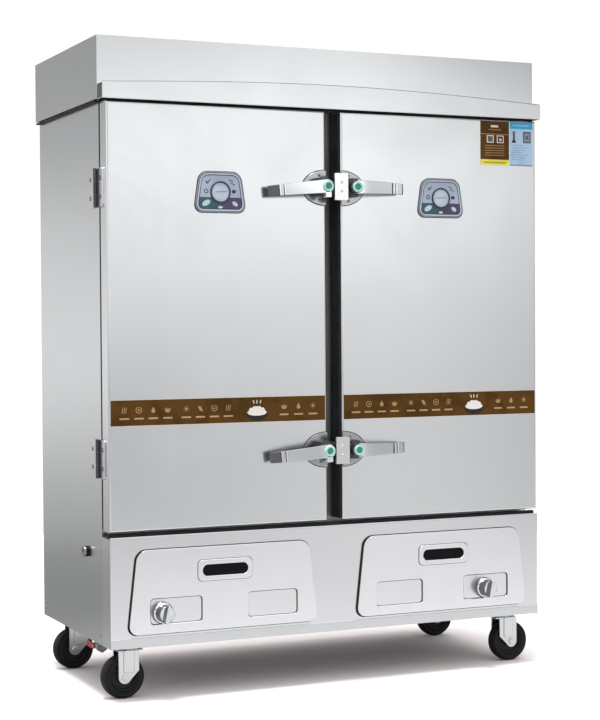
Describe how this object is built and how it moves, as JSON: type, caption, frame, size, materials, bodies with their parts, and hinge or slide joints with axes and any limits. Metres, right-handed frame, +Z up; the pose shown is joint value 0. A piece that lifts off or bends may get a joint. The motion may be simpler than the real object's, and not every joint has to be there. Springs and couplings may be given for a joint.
{
  "type": "rice steaming cart",
  "caption": "Gas-heated steaming cabinet on swivel casters, with twin chambers of tray rails behind lever-latched doors and a burner base.",
  "frame": {"origin": "on the floor, under the middle of the whole cart", "axes": "+Z up, +X to the right seen from the front, +Y towards the back"},
  "size_m": [1.14, 0.592, 1.5],
  "materials": {
    "brushed_steel": "brushed",
    "liner_steel": "satin",
    "polished_steel": "polished",
    "pressed_steel": "satin",
    "foam": "matte",
    "rubber": "matte",
    "brown_film": "gloss",
    "badge": "gloss",
    "brass": "satin",
    "cast_iron": "matte",
    "red_plastic": "satin",
    "tyre": "matte"
  },
  "bodies": {
    "cabinet": {"left_side_panel": "brushed_steel", "right_side_panel": "brushed_steel", "back_panel": "brushed_steel", "crown": "brushed_steel", "roof_deck": "brushed_steel", "insulation": "foam", "chamber_liner": "liner_steel", "left_inner_tray_rack": "liner_steel", "left_outer_tray_rack": "liner_steel", "right_inner_tray_rack": "liner_steel", "right_outer_tray_rack": "liner_steel", "water_tank": "liner_steel", "water_inlet": "brass", "left_burner": "cast_iron", "right_burner": "cast_iron", "gas_manifold": "brass", "chassis": "brushed_steel", "base_front": "brushed_steel", "left_burner_panel": "pressed_steel", "right_burner_panel": "pressed_steel", "left_upper_hinge_body_leaf": "polished_steel", "left_lower_hinge_body_leaf": "polished_steel", "right_upper_hinge_body_leaf": "polished_steel", "right_lower_hinge_body_leaf": "polished_steel"},
    "left_door": {"left_door_skin": "brushed_steel", "left_door_inner": "liner_steel", "left_door_foam": "foam", "left_door_seal": "rubber", "left_band": "brown_film", "left_gauge": "badge", "left_upper_latch_plate": "polished_steel", "left_lower_latch_plate": "polished_steel", "left_upper_hinge_door_leaf": "polished_steel", "left_lower_hinge_door_leaf": "polished_steel"},
    "left_upper_lever_body": {"left_upper_lever": "polished_steel"},
    "left_lower_lever_body": {"left_lower_lever": "polished_steel"},
    "left_knob_body": {"left_gas_knob": "polished_steel"},
    "right_door": {"right_door_skin": "brushed_steel", "right_door_inner": "liner_steel", "right_door_foam": "foam", "right_door_seal": "rubber", "right_band": "brown_film", "right_gauge": "badge", "right_upper_latch_plate": "polished_steel", "right_lower_latch_plate": "polished_steel", "right_upper_hinge_door_leaf": "polished_steel", "right_lower_hinge_door_leaf": "polished_steel"},
    "right_upper_lever_body": {"right_upper_lever": "polished_steel"},
    "right_lower_lever_body": {"right_lower_lever": "polished_steel"},
    "right_knob_body": {"right_gas_knob": "polished_steel"},
    "drain_lever_body": {"drain_lever": "red_plastic"},
    "float_body": {"float_arm": "polished_steel"},
    "front_left_swivel": {"front_left_caster_fork": "polished_steel"},
    "front_left_roller": {"front_left_caster_wheel": "tyre"},
    "front_right_swivel": {"front_right_caster_fork": "polished_steel"},
    "front_right_roller": {"front_right_caster_wheel": "tyre"},
    "rear_left_swivel": {"rear_left_caster_fork": "polished_steel"},
    "rear_left_roller": {"rear_left_caster_wheel": "tyre"},
    "rear_right_swivel": {"rear_right_caster_fork": "polished_steel"},
    "rear_right_roller": {"rear_right_caster_wheel": "tyre"}
  },
  "joints": [
    {"name": "left_door_hinge", "type": "hinge", "parent": "cabinet", "child": "left_door", "pos_m": [-0.5645, -0.174, 0.854], "axis": [0, 0, -1], "range_deg": [0, 180]},
    {"name": "right_door_hinge", "type": "hinge", "parent": "cabinet", "child": "right_door", "pos_m": [0.5645, -0.174, 0.854], "axis": [0, 0, 1], "range_deg": [0, 180]},
    {"name": "left_upper_lever_turn", "type": "hinge", "parent": "left_door", "child": "left_upper_lever_body", "pos_m": [-0.038, -0.278, 1.17], "axis": [0, 1, 0], "range_deg": [0, 90]},
    {"name": "left_lower_lever_turn", "type": "hinge", "parent": "left_door", "child": "left_lower_lever_body", "pos_m": [-0.038, -0.278, 0.554], "axis": [0, 1, 0], "range_deg": [0, 90]},
    {"name": "right_upper_lever_turn", "type": "hinge", "parent": "right_door", "child": "right_upper_lever_body", "pos_m": [0.038, -0.278, 1.17], "axis": [0, -1, 0], "range_deg": [0, 90]},
    {"name": "right_lower_lever_turn", "type": "hinge", "parent": "right_door", "child": "right_lower_lever_body", "pos_m": [0.038, -0.278, 0.554], "axis": [0, -1, 0], "range_deg": [0, 90]},
    {"name": "left_gas_knob_turn", "type": "hinge", "parent": "cabinet", "child": "left_knob_body", "pos_m": [-0.437, -0.265, 0.2], "axis": [0, -1, 0], "range_deg": [0, 90]},
    {"name": "right_gas_knob_turn", "type": "hinge", "parent": "cabinet", "child": "right_knob_body", "pos_m": [0.401, -0.265, 0.2], "axis": [0, -1, 0], "range_deg": [0, 90]},
    {"name": "drain_lever_turn", "type": "hinge", "parent": "cabinet", "child": "drain_lever_body", "pos_m": [-0.544, -0.066, 0.104], "axis": [-1, 0, 0], "range_deg": [0, 90]},
    {"name": "float_arm_swing", "type": "hinge", "parent": "cabinet", "child": "float_body", "pos_m": [-0.4186, -0.074, 0.377], "axis": [0, -1, 0], "range_deg": [0, 15]},
    {"name": "front_left_swivel_turn", "type": "hinge", "parent": "cabinet", "child": "front_left_swivel", "pos_m": [-0.492, -0.174, 0.11], "axis": [0, 0, 1], "continuous": true},
    {"name": "front_left_wheel_roll", "type": "hinge", "parent": "front_left_swivel", "child": "front_left_roller", "pos_m": [-0.51, -0.174, 0.05], "axis": [0, 1, 0], "continuous": true},
    {"name": "front_right_swivel_turn", "type": "hinge", "parent": "cabinet", "child": "front_right_swivel", "pos_m": [0.492, -0.174, 0.11], "axis": [0, 0, 1], "continuous": true},
    {"name": "front_right_wheel_roll", "type": "hinge", "parent": "front_right_swivel", "child": "front_right_roller", "pos_m": [0.51, -0.174, 0.05], "axis": [0, 1, 0], "continuous": true},
    {"name": "rear_left_swivel_turn", "type": "hinge", "parent": "cabinet", "child": "rear_left_swivel", "pos_m": [-0.492, 0.209, 0.11], "axis": [0, 0, 1], "continuous": true},
    {"name": "rear_left_wheel_roll", "type": "hinge", "parent": "rear_left_swivel", "child": "rear_left_roller", "pos_m": [-0.51, 0.209, 0.05], "axis": [0, 1, 0], "continuous": true},
    {"name": "rear_right_swivel_turn", "type": "hinge", "parent": "cabinet", "child": "rear_right_swivel", "pos_m": [0.492, 0.209, 0.11], "axis": [0, 0, 1], "continuous": true},
    {"name": "rear_right_wheel_roll", "type": "hinge", "parent": "rear_right_swivel", "child": "rear_right_roller", "pos_m": [0.51, 0.209, 0.05], "axis": [0, 1, 0], "continuous": true}
  ]
}
